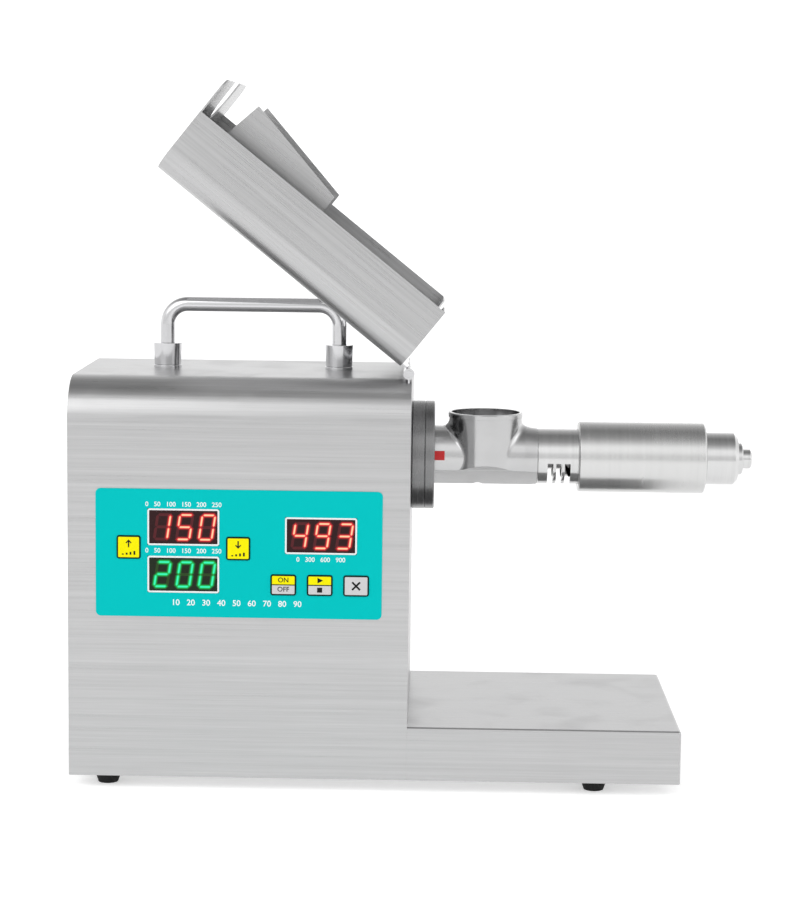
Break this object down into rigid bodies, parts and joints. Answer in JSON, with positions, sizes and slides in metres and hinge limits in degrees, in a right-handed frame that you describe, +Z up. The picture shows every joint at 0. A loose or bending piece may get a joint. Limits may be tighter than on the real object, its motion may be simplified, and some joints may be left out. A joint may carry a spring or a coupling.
{
  "type": "screw oil press",
  "caption": "Tabletop screw oil press: steel cabinet with geared motor, control panel, side barrel with feed throat and heater, tray for a bowl, and a hinged hood.",
  "frame": {"origin": "centre of the feed throat's rim", "axes": "+X along the press barrel towards its outlet, +Y towards the back, +Z up out of the feed throat"},
  "size_m": [0.4686, 0.1863, 0.4789],
  "materials": {
    "brushed_sheet": "horizontal brushed grain",
    "rubber": "matt",
    "zinc_screw": "satin plated",
    "chrome": "polished",
    "dark_flange": "matt dark grey",
    "black_screw": "black oxide",
    "polished_casting": "polished",
    "red_mark": "gloss",
    "turned_steel": "turned",
    "satin_sleeve": "satin",
    "mica": "matt",
    "probe": "satin",
    "cast_alloy": "cast",
    "gear_steel": "machined",
    "winding": "varnished copper",
    "black_plastic": "fine texture",
    "contact_brass": "bright",
    "overlay_turquoise": "semi-gloss film",
    "frame_white": "satin",
    "display_black": "glossy window, emissive digits",
    "board_green": "solder mask",
    "key_yellow": "semi-gloss",
    "key_two_tone": "semi-gloss",
    "key_grey": "semi-gloss"
  },
  "bodies": {
    "cabinet": {"cabinet_shell": "brushed_sheet", "left_end_plate": "brushed_sheet", "right_end_plate": "brushed_sheet", "base_plate": "brushed_sheet", "tray_platform": "brushed_sheet", "rubber_feet": "rubber", "foot_screws": "zinc_screw", "foot_nuts": "zinc_screw", "handle_bar": "chrome", "handle_collars": "chrome", "handle_rings": "chrome", "handle_screws": "zinc_screw", "hinge_fixed_leaf": "chrome", "hinge_pin": "chrome", "mounting_flange": "dark_flange", "flange_screws": "black_screw", "feed_chamber": "polished_casting", "index_mark": "red_mark", "cage_barrel": "turned_steel", "heater_band": "mica", "thermocouple": "probe", "heater_sleeve": "satin_sleeve", "gearbox_housing": "cast_alloy", "gearbox_cover": "cast_alloy", "gearbox_screws": "zinc_screw", "bearings": "gear_steel", "motor_casing": "cast_alloy", "motor_stator": "winding", "panel_overlay": "overlay_turquoise", "display_frames": "frame_white", "display_modules": "display_black", "control_board": "board_green", "key_switches": "black_plastic", "board_standoffs": "zinc_screw", "board_screws": "zinc_screw", "power_inlet": "black_plastic", "inlet_pins": "contact_brass", "inlet_screws": "zinc_screw", "rocker_housing": "black_plastic"},
    "hood": {"hinge_moving_leaf": "chrome", "hood_shell": "brushed_sheet", "hood_hinge_end": "brushed_sheet", "hood_slotted_end": "brushed_sheet", "heat_shield": "brushed_sheet"},
    "screw": {"press_screw": "turned_steel", "output_shaft": "gear_steel", "output_gear": "gear_steel"},
    "idler": {"idler_gear": "gear_steel", "idler_shaft": "gear_steel"},
    "rotor": {"motor_rotor": "gear_steel", "motor_pinion": "gear_steel", "motor_fan": "black_plastic"},
    "outlet": {"outlet_ring": "turned_steel"},
    "nut": {"tail_nut": "turned_steel"},
    "mains_rocker": {"rocker_switch": "black_plastic"},
    "temperature_up_key": {"temperature_up_key": "key_yellow"},
    "temperature_down_key": {"temperature_down_key": "key_yellow"},
    "on_off_key": {"on_off_key": "key_two_tone"},
    "press_stop_key": {"press_stop_key": "key_two_tone"},
    "clear_key": {"clear_key": "key_grey"}
  },
  "joints": [
    {"name": "hood_hinge", "type": "hinge", "parent": "cabinet", "child": "hood", "pos_m": [-0.0536, 0, 0.03255], "axis": [0, 1, 0], "range_deg": [0, 141.3]},
    {"name": "screw_turn", "type": "hinge", "parent": "cabinet", "child": "screw", "pos_m": [-0.0515, 0, -0.0308], "axis": [1, 0, 0], "continuous": true},
    {"name": "idler_turn", "type": "hinge", "parent": "cabinet", "child": "idler", "pos_m": [-0.0515, 0, -0.0828], "axis": [1, 0, 0], "continuous": true},
    {"name": "rotor_turn", "type": "hinge", "parent": "cabinet", "child": "rotor", "pos_m": [-0.0515, 0, -0.1278], "axis": [1, 0, 0], "continuous": true},
    {"name": "outlet_travel", "type": "slide", "parent": "cabinet", "child": "outlet", "axis": [1, 0, 0], "range_m": [0, 0.0015]},
    {"name": "nut_turn", "type": "hinge", "parent": "outlet", "child": "nut", "pos_m": [-0.0515, 0, -0.0308], "axis": [1, 0, 0], "range_deg": [0, 360]},
    {"name": "rocker_tip", "type": "hinge", "parent": "cabinet", "child": "mains_rocker", "pos_m": [-0.1915, 0.0886, -0.2008], "axis": [-1, 0, 0], "range_deg": [0, 22]},
    {"name": "temperature_up_key_press", "type": "slide", "parent": "cabinet", "child": "temperature_up_key", "axis": [0, 1, 0], "range_m": [0, 0.0005], "stiffness_N_per_m": 600},
    {"name": "temperature_down_key_press", "type": "slide", "parent": "cabinet", "child": "temperature_down_key", "axis": [0, 1, 0], "range_m": [0, 0.0005], "stiffness_N_per_m": 600},
    {"name": "on_off_key_press", "type": "slide", "parent": "cabinet", "child": "on_off_key", "axis": [0, 1, 0], "range_m": [0, 0.0005], "stiffness_N_per_m": 600},
    {"name": "press_stop_key_press", "type": "slide", "parent": "cabinet", "child": "press_stop_key", "axis": [0, 1, 0], "range_m": [0, 0.0005], "stiffness_N_per_m": 600},
    {"name": "clear_key_press", "type": "slide", "parent": "cabinet", "child": "clear_key", "axis": [0, 1, 0], "range_m": [0, 0.0005], "stiffness_N_per_m": 600}
  ],
  "couplings": [
    {"joint": "idler_turn", "follows": "screw_turn", "ratio": -3},
    {"joint": "rotor_turn", "follows": "screw_turn", "ratio": 12},
    {"joint": "outlet_travel", "follows": "nut_turn", "m_per_rad": 0.00023873}
  ]
}
